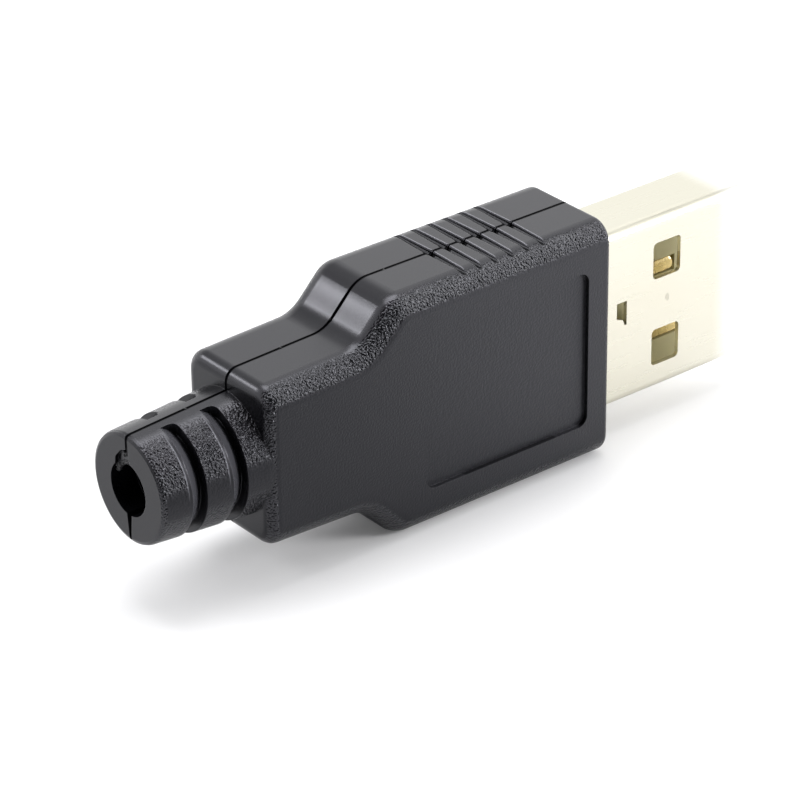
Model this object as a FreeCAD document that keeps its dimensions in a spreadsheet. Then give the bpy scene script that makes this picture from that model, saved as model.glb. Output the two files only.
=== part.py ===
import FreeCAD, Part
import Sketcher
import os
import re

# USB Type-A plug of the kind that is put on a cable by hand, in millimetres.
# Every piece is drawn about the plug's axis: X = 0 is the front face of the housing, +X points
# out of the metal tip, Y = 0 is the parting plane of the housing, and Z = 0 is the plug's axis.
# Each piece is then placed so that the plug stands on its lower narrow edge at Z = 0, with the
# middle of its length at X = 0.

SIZES = [
    # Metal shell, whose mating end is a standard size
    ("plug_high", 12.0, "metal shell, long side of its section"),
    ("plug_thick", 4.5, "metal shell, short side of its section"),
    ("sheet_thick", 0.3, "sheet of the metal shell"),
    ("plug_corner", 0.65, "outer bend radius of the metal shell"),
    ("plug_out", 12.45, "metal shell in front of the housing"),
    ("plug_in", 6.65, "metal shell inside the housing"),
    ("tip_bevel", 0.12, "bevel of the metal tip"),
    ("window_long", 2.25, "latch window along the plug"),
    ("window_high", 2.5, "latch window across the plug"),
    ("window_round", 0.3, "corners of the latch windows"),
    ("window_from_tip", 5.16, "metal tip to the front edge of the windows"),
    ("window_spacing", 6.0, "between the middles of two windows"),
    ("lock_start", 2.09, "housing face to the lock window"),
    ("lock_long", 0.82, "lock window along the plug"),
    ("lock_top", 1.06, "top of the lock window above the axis"),
    ("lock_foot_low", 0.59, "foot of the lock window below the axis"),
    ("lock_foot_long", 0.31, "foot of the lock window along the plug"),
    ("lock_drop", 1.1, "how far the lock tab is pressed inward"),
    ("lock_side", 0.12, "cut between the lock tab and its window"),
    ("seam_gap", 0.06, "gap of the folded seam"),
    ("dovetail_start", 3.3, "housing face to the seam's dovetail"),
    ("dovetail_long", 2.4, "neck of the dovetail along the plug"),
    ("dovetail_high", 1.1, "height of the dovetail"),
    ("dovetail_flare", 0.35, "how much wider each side of the dovetail gets"),
    ("ear_wide", 2.4, "ears at the rear of the metal shell"),
    ("ear_wall", 0.54, "housing wall outside an ear"),
    # Insulator and contacts
    ("fit_gap", 0.05, "clearance between pieces that fit in each other"),
    ("tongue_thick", 1.9, "tongue of the insulator"),
    ("tongue_back", 0.4, "metal tip to the tongue's end"),
    ("tongue_lead", 0.35, "bevel at the tongue's end"),
    ("block_front", 3.4, "housing face to the front of the insulator's block"),
    ("block_behind", 1.0, "insulator's block behind the metal shell"),
    ("shelf_long", 3.0, "solder shelf"),
    ("shelf_high", 10.6, "solder shelf across the plug"),
    ("contact_wide", 1.0, "contact strip"),
    ("contact_thick", 0.3, "contact strip"),
    ("contact_proud", 0.05, "contact above the tongue's face"),
    ("contact_nose", 0.45, "rounding of a contact's front end"),
    ("contact_ease", 0.18, "eased rim of a contact's front end"),
    ("power_spacing", 7.0, "between the two outer contacts"),
    ("data_spacing", 2.0, "between the two inner contacts"),
    ("power_from_tip", 2.6, "metal tip to the outer contacts"),
    ("data_from_tip", 3.6, "metal tip to the inner contacts"),
    ("tail_long", 2.6, "solder tail behind the insulator's block"),
    ("cup_wall", 0.2, "side lips of a solder tail"),
    ("cup_high", 0.4, "height of those lips"),
    # Housing, outside
    ("housing_long", 33.1, "housing with its strain relief"),
    ("housing_thick", 8.0, "between the two large faces"),
    ("wide_high", 15.9, "wide part, between the two narrow faces"),
    ("shoulder_start", 16.38, "housing face to the top of the shoulder"),
    ("shoulder_long", 2.42, "shoulder along the plug"),
    ("shoulder_round", 1.8, "rounding at the top of the shoulder"),
    ("shoulder_root", 2.2, "hollow at the foot of the shoulder"),
    ("neck_long", 7.2, "foot of the shoulder to the end of the neck"),
    ("neck_front_high", 10.9, "neck at the shoulder"),
    ("neck_rear_high", 10.4, "neck at its end"),
    ("edge_round", 1.4, "rounding between narrow and large faces"),
    ("neck_end_round", 0.8, "rounding of the neck's end"),
    ("front_round", 0.4, "rounding of the front face"),
    ("parting_gap", 0.11, "gap between the two halves"),
    ("shoulder_gap", 0.22, "that gap on the upper shoulder, where it is widest"),
    ("grip_first", 4.82, "housing face to the first grip groove"),
    ("grip_pitch", 1.22, "between two grip grooves"),
    ("grip_count", 6, "grip grooves on each narrow face"),
    ("grip_wide", 0.56, "grip groove at the parting line"),
    ("grip_deep", 0.34, "grip groove at the parting line"),
    ("grip_reach", 3.7, "parting line to the end of a grip groove"),
    ("grip_taper", 0.55, "share of a groove's width and depth that is left there"),
    ("notch_wide", 0.72, "nick where a groove crosses the parting line"),
    ("notch_deep", 0.42, "depth of that nick"),
    ("notch_half", 0.13, "length of that nick in each half"),
    ("panel_start", 1.78, "housing face to the panel on a large face"),
    ("panel_long", 12.67, "panel along the plug"),
    ("panel_high", 10.5, "panel across the plug"),
    ("panel_deep", 0.3, "panel below the large face"),
    ("panel_round", 0.7, "corners of the panel"),
    # Strain relief
    ("relief_root", 3.95, "radius of the strain relief at the neck"),
    ("relief_tip", 3.48, "radius of the strain relief at its end"),
    ("relief_round", 0.26, "eased rim of the strain relief's end"),
    ("rim_step", 0.29, "corner between the two bevels of that rim, in rim widths"),
    ("slot_first", 1.4, "end of the neck to the wall of the first slot"),
    ("slot_pitch", 2.75, "between two slots"),
    ("slot_long", 1.0, "slot along the plug"),
    ("slot_deep", 0.7, "slot at its wall"),
    ("slot_sweep", 160, "degrees that a slot goes round its half"),
    ("slot_end_round", 0.45, "rounded end of a slot"),
    ("bore_radius", 1.7, "cable bore"),
    ("rib_deep", 0.25, "grooves in the bore, between which its ribs grip the cable"),
    ("rib_groove_long", 0.45, "one of those grooves along the bore"),
    ("rib_pitch", 0.9, "between two of them"),
    ("mouth_gap", 0.25, "half of the gap under the bore, where the halves stand apart"),
    ("mouth_gap_middle", 0.14, "half of that gap, in the middle of the wall"),
    ("mouth_gap_long", 1.8, "how far that gap runs in"),
    ("gate_wide", 1.25, "broken-off gate above the bore, in the far half"),
    ("gate_rest", 0.26, "what the gate left in the near half"),
    ("gate_high", 0.85, "broken-off gate above the bore"),
    ("gate_deep", 0.22, "broken-off gate, into the end face"),
    # Housing, inside
    ("wall", 1.2, "housing wall"),
    ("rib_thick", 0.8, "rib behind each ear of the metal shell"),
    ("peg_radius", 0.45, "rear locating pegs"),
    ("peg_share", 0.24, "radius of a front peg, in thicknesses of the wall it stands in"),
    ("peg_high", 1.5, "locating pegs above the parting plane"),
    ("peg_root", 0.5, "how deep a peg is rooted"),
    ("peg_gap", 0.06, "clearance round a peg"),
    ("front_peg", 2.9, "housing face to the front pegs"),
    ("boss_radius", 1.0, "boss of a rear peg"),
    ("boss_sunk", 0.15, "how far that boss sinks into the side wall"),
    ("boss_gap", 0.2, "snap hook to the boss behind it"),
    ("shelf_gap", 0.3, "solder shelf to the snap hook behind it"),
    ("hook_wide", 2.4, "snap hook along the plug"),
    ("hook_thick", 0.7, "snap hook"),
    ("hook_high", 1.9, "snap hook above the parting plane"),
    ("hook_nose", 0.3, "how far the snap hook's nose stands out"),
    ("hook_nose_long", 0.7, "nose of the snap hook"),
    ("hook_gap", 0.1, "clearance round the snap hook's nose"),
]

SMALL = 0.01

document = FreeCAD.newDocument("usb_plug")


def fill_sheet():
    """One row for each size: its name, its value and what it measures."""
    sheet = document.addObject("Spreadsheet::Sheet", "Sizes")
    for row, (name, value, note) in enumerate(SIZES, start=1):
        sheet.set("A%d" % row, name)
        sheet.set("B%d" % row, str(value))
        sheet.set("C%d" % row, note)
        sheet.setAlias("B%d" % row, name)
    document.recompute()
    return sheet


sizes = fill_sheet()


def cells(text):
    """Turns size names in a formula into references to the sheet."""
    return re.sub(r"[a-z_]+", lambda word: "Sizes." + word.group(), text)


def number(text):
    """The value of a formula of size names, for first positions and for finding edges."""
    return float(sizes.evalExpression(cells(text)))


def minus(text):
    return "-(%s)" % text


def new_body(name):
    body = document.addObject("PartDesign::Body", name)
    body.Label = name
    return body


def origin_plane(body, role):
    for feature in body.Origin.OriginFeatures:
        if feature.Role == role:
            return feature


def new_sketch(body, name, role, offset):
    """An empty sketch parallel to an origin plane, offset along that plane's normal."""
    sketch = body.newObject("Sketcher::SketchObject", body.Name + "_" + name + "_sketch")
    sketch.AttachmentSupport = [(origin_plane(body, role), "")]
    sketch.MapMode = "FlatFace"
    sketch.setExpression("AttachmentOffset.Base.z", cells(offset))
    return sketch


def hold(sketch, kind, geometry, point, text):
    """Ties one coordinate of a sketch point to the sheet."""
    constraint = Sketcher.Constraint(kind, -1, 1, geometry, point, number(text))
    index = sketch.addConstraint(constraint)
    sketch.setExpression("Constraints[%d]" % index, cells(text))


def polygon_sketch(body, name, role, loops, offset="0"):
    """Closed outlines with straight sides, every corner held by the sheet."""
    sketch = new_sketch(body, name, role, offset)
    for corners in loops:
        first = sketch.GeometryCount
        count = len(corners)
        places = [FreeCAD.Vector(number(u), number(v), 0) for u, v in corners]
        for i in range(count):
            side = Part.LineSegment(places[i], places[(i + 1) % count])
            sketch.addGeometry(side, False)
        for i in range(count):
            following = first + (i + 1) % count
            sketch.addConstraint(Sketcher.Constraint("Coincident", first + i, 2, following, 1))
        for i, (u, v) in enumerate(corners):
            hold(sketch, "DistanceX", first + i, 1, u)
            hold(sketch, "DistanceY", first + i, 1, v)
    document.recompute()
    return sketch


def circle_sketch(body, name, role, centres, radius, offset="0"):
    """Circles of one radius."""
    sketch = new_sketch(body, name, role, offset)
    for u, v in centres:
        place = FreeCAD.Vector(number(u), number(v), 0)
        circle = Part.Circle(place, FreeCAD.Vector(0, 0, 1), number(radius))
        index = sketch.addGeometry(circle, False)
        hold(sketch, "DistanceX", index, 3, u)
        hold(sketch, "DistanceY", index, 3, v)
        size = sketch.addConstraint(Sketcher.Constraint("Radius", index, number(radius)))
        sketch.setExpression("Constraints[%d]" % size, cells(radius))
    document.recompute()
    return sketch


def rectangle(u_low, u_high, v_low, v_high):
    return [(u_low, v_low), (u_high, v_low), (u_high, v_high), (u_low, v_high)]


def above_and_below(corners):
    """The same outline on both sides of the plug's axis."""
    return [corners, [(u, minus(v)) for u, v in corners]]


def extrude(body, kind, name, sketch, length, reverse=False, both=False):
    """A Pad or a Pocket; both means half of the length on each side of the sketch."""
    feature = body.newObject("PartDesign::" + kind, body.Name + "_" + name)
    before = volume_of(body, feature)
    feature.Profile = sketch
    feature.Reversed = reverse
    if both:
        feature.SideType = "Symmetric"
    feature.setExpression("Length", cells(length))
    sketch.Visibility = False
    document.recompute()
    require_change(body, kind, name, before)
    return feature


def revolve(body, kind, name, sketch, degrees):
    """A Revolution or a Groove about the sketch's own horizontal axis, even on both sides."""
    feature = body.newObject("PartDesign::" + kind, body.Name + "_" + name)
    before = volume_of(body, feature)
    feature.Profile = sketch
    feature.ReferenceAxis = (sketch, ["H_Axis"])
    feature.Midplane = True
    feature.setExpression("Angle", cells(degrees))
    document.recompute()
    require_change(body, kind, name, before)
    return feature


def loft_away(body, name, sections):
    """A SubtractiveLoft with straight sides between two outlines."""
    feature = body.newObject("PartDesign::SubtractiveLoft", body.Name + "_" + name)
    before = volume_of(body, feature)
    feature.Profile = sections[0]
    feature.Sections = sections[1:]
    feature.Ruled = True
    for sketch in sections:
        sketch.Visibility = False
    document.recompute()
    require_change(body, "Loft", name, before)
    return feature


def volume_of(body, feature):
    """The body's volume before a feature; nothing if the feature is its first."""
    base = feature.BaseFeature
    return base.Shape.Volume if base else 0.0


def require_change(body, kind, name, before):
    """Stops if a feature added or removed nothing, as one that points away does."""
    change = body.Tip.Shape.Volume - before
    added = kind in ("Pad", "Revolution")
    if (change > 0) != added or abs(change) < 1e-6:
        raise RuntimeError("%s %s changed the volume by %g" % (body.Label, name, change))


def round_edges(body, name, radius, chosen):
    """A Fillet on the edges for which chosen(edge) is true."""
    base = body.Tip
    names = ["Edge%d" % (i + 1) for i, edge in enumerate(base.Shape.Edges) if chosen(edge)]
    if not names:
        raise RuntimeError("%s %s found no edges" % (body.Label, name))
    feature = body.newObject("PartDesign::Fillet", body.Name + "_" + name)
    feature.Base = (base, names)
    feature.setExpression("Radius", cells(radius))
    document.recompute()
    return feature


def bevel_edges(body, name, width, chosen):
    """A Chamfer on the edges for which chosen(edge) is true."""
    base = body.Tip
    names = ["Edge%d" % (i + 1) for i, edge in enumerate(base.Shape.Edges) if chosen(edge)]
    feature = body.newObject("PartDesign::Chamfer", body.Name + "_" + name)
    feature.Base = (base, names)
    feature.setExpression("Size", cells(width))
    document.recompute()
    return feature


def flat_at(edge, axis, place):
    """True if the whole edge lies in the plane where that axis has that value."""
    box = edge.BoundBox
    low = getattr(box, axis + "Min")
    high = getattr(box, axis + "Max")
    return abs(low - place) < SMALL and abs(high - place) < SMALL


def runs_along(edge, axis):
    """True if the edge is straight and parallel to that axis."""
    box = edge.BoundBox
    spans = {"X": box.XLength, "Y": box.YLength, "Z": box.ZLength}
    return all((spans[name] > SMALL) == (name == axis) for name in spans)


# Formulas that several pieces share. Those that end in _AT are distances behind the housing face.
HALF_THICK = "housing_thick / 2"
HALF_WIDE = "wide_high / 2"
SHOULDER_FOOT_AT = "(shoulder_start + shoulder_long)"
NECK_END_AT = "(shoulder_start + shoulder_long + neck_long)"
SHELL_REAR = minus("plug_in")
SHELL_INNER_Y = "plug_thick / 2 - sheet_thick"
SHELL_INNER_Z = "plug_high / 2 - sheet_thick"
SEAT_Z = "plug_high / 2 + fit_gap"
TONGUE_FACE = "plug_thick / 2 - sheet_thick - fit_gap - tongue_thick"
BLOCK_REAR = minus("plug_in + block_behind")
HOOK_AT = "(plug_in + block_behind + shelf_long + shelf_gap + hook_wide / 2)"
REAR_PEG_AT = "(%s + hook_wide / 2 + boss_gap + boss_radius)" % HOOK_AT


# Half of a grip groove's section: shares of its width from the middle, and shares of its depth.
GRIP_FORM = [(0.5, -1.0), (0.5, 0.6), (0.3, 1.0)]


# Housing halves. side is -1 for the half on the -Y side and +1 for the half on the +Y side.

def outline_half(body, side):
    """Outer form of a half: wide part, shoulder and neck, rounded at its large face."""
    upper = [
        ("0", HALF_WIDE),
        (minus("shoulder_start"), HALF_WIDE),
        (minus(SHOULDER_FOOT_AT), "neck_front_high / 2"),
        (minus(NECK_END_AT), "neck_rear_high / 2"),
    ]
    lower = [(u, minus(v)) for u, v in reversed(upper)]
    outline = polygon_sketch(body, "outline", "XZ_Plane", [upper + lower])
    extrude(body, "Pad", "block", outline, HALF_THICK, reverse=side > 0)

    def at_corner(edge, distance, height):
        middle = edge.CenterOfMass
        near_x = abs(middle.x + number(distance)) < SMALL
        return near_x and abs(abs(middle.z) - number(height)) < SMALL

    round_edges(body, "shoulder_rounding", "shoulder_round",
                lambda edge: at_corner(edge, "shoulder_start", HALF_WIDE))
    round_edges(body, "shoulder_hollow", "shoulder_root",
                lambda edge: at_corner(edge, SHOULDER_FOOT_AT, "neck_front_high / 2"))
    face = side * number(HALF_THICK)
    rear = -number(NECK_END_AT)
    round_edges(body, "long_edges", "edge_round",
                lambda edge: flat_at(edge, "Y", face)
                and not flat_at(edge, "X", 0) and not flat_at(edge, "X", rear))
    round_edges(body, "neck_end_edges", "neck_end_round",
                lambda edge: flat_at(edge, "X", rear) and not flat_at(edge, "Y", 0))
    round_edges(body, "front_edges", "front_round",
                lambda edge: flat_at(edge, "X", 0) and not flat_at(edge, "Y", 0))


def add_relief(body, side):
    """Tapered half-round strain relief, rooted in the neck, with an eased rim at its end."""
    outward = (lambda text: text) if side > 0 else minus
    step = "relief_round * rim_step"
    profile = [
        (minus("%s - wall" % NECK_END_AT), "0"),
        (minus("%s - wall" % NECK_END_AT), outward("relief_root")),
        (minus(NECK_END_AT), outward("relief_root")),
        (minus("housing_long - relief_round"), outward("relief_tip")),
        (minus("housing_long - %s" % step), outward("relief_tip - %s" % step)),
        (minus("housing_long"), outward("relief_tip - relief_round")),
        (minus("housing_long"), "0"),
    ]
    sketch = polygon_sketch(body, "relief", "XY_Plane", [profile])
    revolve(body, "Revolution", "relief", sketch, "180")


def cut_slots(body, side):
    """Cross slots: a floor that slopes down to a steep wall, rounded at both ends."""
    outward = (lambda text: text) if side > 0 else minus
    relief_long = "(housing_long - %s)" % NECK_END_AT
    taper = "(relief_root - relief_tip) / (%s - relief_round)" % relief_long
    for index in range(int(number("(%s - slot_first) / slot_pitch" % relief_long))):
        from_neck = "slot_first + %d * slot_pitch" % index
        edge_from_neck = "%s + slot_long" % from_neck
        wall_radius = "relief_root - (%s) * %s" % (from_neck, taper)
        edge_radius = "relief_root - (%s) * %s" % (edge_from_neck, taper)
        wall_at = "%s + %s" % (NECK_END_AT, from_neck)
        edge_at = "%s + %s" % (NECK_END_AT, edge_from_neck)
        profile = [
            (minus(edge_at), outward(edge_radius)),
            (minus(wall_at), outward("%s - slot_deep" % wall_radius)),
            (minus(wall_at), outward("relief_root + slot_deep")),
            (minus(edge_at), outward("relief_root + slot_deep")),
        ]
        name = "slot_%d" % (index + 1)
        sketch = polygon_sketch(body, name, "XY_Plane", [profile])
        revolve(body, "Groove", name, sketch, "slot_sweep")
        place = -number(wall_at)
        round_edges(body, name + "_ends", "slot_end_round",
                    lambda edge: flat_at(edge, "X", place) and edge.Curve.TypeId == "Part::GeomLine"
                    and abs(edge.Length - number("slot_deep")) < 0.1)


def grip_section(share, face):
    """Section of a grip groove: open above the face, with steep sides and a bevelled floor."""
    section = []
    for wide, deep in GRIP_FORM + [(-wide, deep) for wide, deep in reversed(GRIP_FORM)]:
        along = minus("grip_first + grip_wide * %s * (%g)" % (share, wide))
        across = "%s - grip_deep * %s * (%g)" % (face, share, deep)
        section.append((along, across))
    return section


def cut_grips(body, side):
    """Grooves across both narrow faces, pointed at their ends and nicked at the parting line."""
    reach = "grip_reach" if side < 0 else minus("grip_reach")
    cuts = []
    for name, sign in (("upper", ""), ("lower", "-")):
        sections = []
        for end, share, offset in (("wide", "1", "0"), ("narrow", "grip_taper", reach)):
            corners = [(u, "%s(%s)" % (sign, v)) for u, v in grip_section(share, HALF_WIDE)]
            label = "grip_%s_%s" % (name, end)
            sections.append(polygon_sketch(body, label, "XZ_Plane", [corners], offset))
        cuts.append(loft_away(body, "grip_" + name, sections))
    nick = [
        (minus("grip_first + notch_wide / 2"), HALF_WIDE),
        (minus("grip_first"), "%s - notch_deep" % HALF_WIDE),
        (minus("grip_first - notch_wide / 2"), HALF_WIDE),
    ]
    nick_sketch = polygon_sketch(body, "nick", "XZ_Plane", above_and_below(nick))
    cuts.append(extrude(body, "Pocket", "nick", nick_sketch, "notch_half * 2", both=True))
    pattern = body.newObject("PartDesign::LinearPattern", body.Name + "_grips")
    pattern.Originals = cuts
    pattern.Direction = (origin_plane(body, "X_Axis"), [""])
    pattern.Reversed = True
    pattern.setExpression("Length", cells("grip_pitch * (grip_count - 1)"))
    pattern.setExpression("Occurrences", cells("grip_count"))
    body.Tip = pattern
    document.recompute()


def cut_panel(body, side):
    """Shallow plain panel in the large face."""
    rear = minus("panel_start + panel_long")
    corners = rectangle(rear, minus("panel_start"), minus("panel_high / 2"), "panel_high / 2")
    away = HALF_THICK if side < 0 else minus(HALF_THICK)
    sketch = polygon_sketch(body, "panel", "XZ_Plane", [corners], away)
    extrude(body, "Pocket", "panel", sketch, "panel_deep", reverse=side > 0)
    deep = number("panel_deep")
    face = side * number(HALF_THICK)

    def is_corner(edge):
        near_face = abs(edge.CenterOfMass.y - face + side * deep / 2) < SMALL
        return runs_along(edge, "Y") and near_face and abs(edge.Length - deep) < SMALL

    round_edges(body, "panel_corners", "panel_round", is_corner)


def hollow_half(body, side):
    """Seat of the metal shell, slots of its ears, wiring chamber and cable bore."""
    inward = side < 0
    seat = rectangle("%s - fit_gap" % BLOCK_REAR, "fit_gap", minus(SEAT_Z), SEAT_Z)
    seat_sketch = polygon_sketch(body, "seat", "XZ_Plane", [seat])
    extrude(body, "Pocket", "seat", seat_sketch, "plug_thick / 2 + fit_gap", reverse=inward)

    ear_top = "%s - ear_wall" % HALF_WIDE
    ears = rectangle("%s - fit_gap" % SHELL_REAR, "%s + sheet_thick + fit_gap" % SHELL_REAR,
                     minus(ear_top), ear_top)
    ear_sketch = polygon_sketch(body, "ears", "XZ_Plane", [ears])
    extrude(body, "Pocket", "ears", ear_sketch, "ear_wide / 2 + fit_gap", reverse=inward)

    upper = [
        (minus("plug_in + fit_gap + rib_thick"), "%s - wall" % HALF_WIDE),
        (minus("shoulder_start - wall / 2"), "%s - wall" % HALF_WIDE),
        (minus("%s - wall / 2" % SHOULDER_FOOT_AT), "neck_rear_high / 2 - wall"),
        (minus("%s - wall" % NECK_END_AT), "neck_rear_high / 2 - wall"),
    ]
    lower = [(u, minus(v)) for u, v in reversed(upper)]
    chamber_sketch = polygon_sketch(body, "chamber", "XZ_Plane", [upper + lower])
    extrude(body, "Pocket", "chamber", chamber_sketch, "%s - wall" % HALF_THICK, reverse=inward)
    cut_bore(body, side)


def cut_bore(body, side):
    """Half of the cable bore, with two grooves near its inner end that leave gripping ribs."""
    outward = (lambda text: text) if side > 0 else minus
    inner = "%s - wall" % NECK_END_AT
    radius = outward("bore_radius")
    groove_radius = outward("bore_radius + rib_deep")
    profile = [(minus("housing_long + wall"), "0"), (minus("housing_long + wall"), radius)]
    for index in (1, 0):
        start = "%s + wall / 2 + %d * rib_pitch" % (inner, index)
        profile.append((minus("%s + rib_groove_long" % start), radius))
        profile.append((minus("%s + rib_groove_long / 2" % start), groove_radius))
        profile.append((minus(start), radius))
    profile += [(minus("%s - fit_gap" % inner), radius), (minus("%s - fit_gap" % inner), "0")]
    sketch = polygon_sketch(body, "bore", "XY_Plane", [profile])
    revolve(body, "Groove", "bore", sketch, "360")


def open_mouth(body, side):
    """End face: the halves stand apart under the bore, and the gate broke off above it."""
    outward = (lambda text: text) if side > 0 else minus
    under = [
        ("0", minus("bore_radius - mouth_gap")),
        (outward("mouth_gap"), minus("bore_radius - mouth_gap")),
        (outward("mouth_gap_middle"), minus("(bore_radius + relief_tip) / 2")),
        (outward("parting_gap / 2"), minus("relief_tip")),
        (outward("parting_gap / 2"), minus("relief_root + wall")),
        ("0", minus("relief_root + wall")),
    ]
    under_sketch = polygon_sketch(body, "mouth", "YZ_Plane", [under], minus("housing_long"))
    extrude(body, "Pocket", "mouth", under_sketch, "mouth_gap_long", reverse=True)
    gate_low = "bore_radius - gate_high"
    wide = "gate_wide" if side > 0 else "gate_rest"
    over = [
        ("0", gate_low),
        (outward(wide), gate_low),
        (outward("%s * 0.9" % wide), "bore_radius"),
        (outward("%s * 0.45" % wide), "bore_radius + gate_high * 0.75"),
        ("0", "bore_radius + gate_high"),
    ]
    over_sketch = polygon_sketch(body, "gate", "YZ_Plane", [over], minus("housing_long"))
    extrude(body, "Pocket", "gate", over_sketch, "gate_deep", reverse=True)


def cut_parting_face(body, side):
    """Takes half of the parting gap off the half, and more of it on the upper shoulder."""
    outward = (lambda text: text) if side > 0 else minus
    plate = rectangle(minus("housing_long * 2"), "housing_long", minus("wide_high"), "wide_high")
    sketch = polygon_sketch(body, "parting", "XZ_Plane", [plate])
    extrude(body, "Pocket", "parting", sketch, "parting_gap / 2", reverse=side < 0)
    rear = minus("%s + wall / 2" % SHOULDER_FOOT_AT)
    front = minus("shoulder_start - wall / 2")
    wedge = [
        (rear, "0"),
        (rear, outward("parting_gap / 2")),
        (minus("shoulder_start + shoulder_long / 2"), outward("shoulder_gap / 2")),
        (front, outward("parting_gap / 2")),
        (front, "0"),
    ]
    above = "neck_front_high / 2 - wall / 2"
    wedge_sketch = polygon_sketch(body, "shoulder_gap", "XY_Plane", [wedge], above)
    extrude(body, "Pocket", "shoulder_gap", wedge_sketch, "wide_high", reverse=True)


def peg_rows():
    """Name, place and radius of the front pegs, beside the metal shell, and of the rear pegs."""
    beside = "(%s + %s) / 2" % (SEAT_Z, HALF_WIDE)
    wall_beside = "(%s - (%s))" % (HALF_WIDE, SEAT_Z)
    corner = "%s - wall - boss_radius + boss_sunk" % HALF_WIDE
    return [
        ("front", "front_peg", beside, "%s * peg_share" % wall_beside),
        ("rear", REAR_PEG_AT, corner, "peg_radius"),
    ]


def both_sides(distance, height):
    """A place above the plug's axis and its mirror image below."""
    return [(minus(distance), height), (minus(distance), minus(height))]


def add_bosses(body, side):
    """Bosses under the rear pegs or sockets."""
    distance, height = peg_rows()[1][1:3]
    sketch = circle_sketch(body, "boss", "XZ_Plane", both_sides(distance, height), "boss_radius")
    extrude(body, "Pad", "boss", sketch, "%s - wall / 2" % HALF_THICK, reverse=side > 0)


def add_pegs(body):
    """Four pegs that stand up from the near half."""
    for name, distance, height, radius in peg_rows():
        places = both_sides(distance, height)
        sketch = circle_sketch(body, name + "_peg", "XZ_Plane", places, radius, "peg_root")
        extrude(body, "Pad", name + "_peg", sketch, "peg_root + peg_high", reverse=True)


def cut_sockets(body):
    """Sockets for the pegs in the far half."""
    for name, distance, height, radius in peg_rows():
        places = both_sides(distance, height)
        sketch = circle_sketch(body, name + "_socket", "XZ_Plane", places, "%s + peg_gap" % radius)
        extrude(body, "Pocket", name + "_socket", sketch, "peg_high + peg_gap * 3")


def hook_span(extra):
    """Ends of the snap hooks along the plug, with some room."""
    half = "hook_wide / 2 + %s" % extra
    return minus("%s + %s" % (HOOK_AT, half)), minus("%s - (%s)" % (HOOK_AT, half))


def add_hooks(body):
    """Two snap hooks on the near half, with their noses pointing outward."""
    rear, front = hook_span("0")
    outer = "%s - wall - fit_gap" % HALF_WIDE
    inner = "%s - hook_thick" % outer
    root = rectangle(rear, front, inner, "%s - wall / 2" % HALF_WIDE)
    root_gap = "parting_gap / 2"
    root_sketch = polygon_sketch(body, "hook_root", "XZ_Plane", above_and_below(root), root_gap)
    extrude(body, "Pad", "hook_root", root_sketch, "%s - wall / 2 - %s" % (HALF_THICK, root_gap))
    tongue = rectangle(rear, front, inner, outer)
    tongue_sketch = polygon_sketch(body, "hook", "XZ_Plane", above_and_below(tongue), "peg_root")
    extrude(body, "Pad", "hook", tongue_sketch, "peg_root + hook_high", reverse=True)
    nose = [
        ("hook_high", "%s - hook_thick / 2" % outer),
        ("hook_high", outer),
        ("hook_high - hook_nose_long * 0.6", "%s + hook_nose" % outer),
        ("hook_high - hook_nose_long", outer),
        ("hook_high - hook_nose_long", "%s - hook_thick / 2" % outer),
    ]
    nose_sketch = polygon_sketch(body, "nose", "YZ_Plane", above_and_below(nose), minus(HOOK_AT))
    extrude(body, "Pad", "nose", nose_sketch, "hook_wide", both=True)


def cut_hook_recesses(body):
    """Recesses in the side walls of the far half that take the noses."""
    rear, front = hook_span("hook_gap")
    outer = "%s - wall - fit_gap + hook_nose + hook_gap" % HALF_WIDE
    recess = rectangle(rear, front, "%s - wall * 1.5" % HALF_WIDE, outer)
    low = "hook_high - hook_nose_long - hook_gap"
    sketch = polygon_sketch(body, "recess", "XZ_Plane", above_and_below(recess), minus(low))
    extrude(body, "Pocket", "recess", sketch, "hook_nose_long + hook_gap * 2")


def make_housing_half(name, side):
    body = new_body(name)
    outline_half(body, side)
    add_relief(body, side)
    cut_slots(body, side)
    cut_grips(body, side)
    cut_panel(body, side)
    hollow_half(body, side)
    add_bosses(body, side)
    cut_parting_face(body, side)
    open_mouth(body, side)
    if side < 0:
        add_pegs(body)
        add_hooks(body)
    else:
        cut_sockets(body)
        cut_hook_recesses(body)
    return body


# Metal shell

def fold_tube(body):
    """Tube of folded sheet, rounded at its bends and at its tip."""
    outer = rectangle(minus("plug_thick / 2"), "plug_thick / 2", minus("plug_high / 2"), "plug_high / 2")
    outer_sketch = polygon_sketch(body, "outer", "YZ_Plane", [outer], SHELL_REAR)
    extrude(body, "Pad", "tube", outer_sketch, "plug_in + plug_out")
    round_edges(body, "bends", "plug_corner", lambda edge: runs_along(edge, "X"))
    tip = number("plug_out")
    bevel_edges(body, "tip", "tip_bevel", lambda edge: flat_at(edge, "X", tip))
    inner = rectangle(minus(SHELL_INNER_Y), SHELL_INNER_Y, minus(SHELL_INNER_Z), SHELL_INNER_Z)
    inner_sketch = polygon_sketch(body, "inner", "YZ_Plane", [inner], SHELL_REAR)
    extrude(body, "Pocket", "inside", inner_sketch, "plug_in + plug_out", reverse=True)
    wall_y = number(SHELL_INNER_Y)
    round_edges(body, "inner_bends", "plug_corner - sheet_thick",
                lambda edge: runs_along(edge, "X") and abs(abs(edge.CenterOfMass.y) - wall_y) < SMALL)


def cut_windows(body):
    """Two latch windows in each large face."""
    front = "plug_out - window_from_tip"
    low = "(window_spacing - window_high) / 2"
    window = rectangle("%s - window_long" % front, front, low, "%s + window_high" % low)
    sketch = polygon_sketch(body, "window", "XZ_Plane", above_and_below(window))
    extrude(body, "Pocket", "window", sketch, "plug_thick * 2", both=True)
    sheet = number("sheet_thick")
    round_edges(body, "window_corners", "window_round",
                lambda edge: runs_along(edge, "Y") and abs(edge.Length - sheet) < SMALL)


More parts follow.
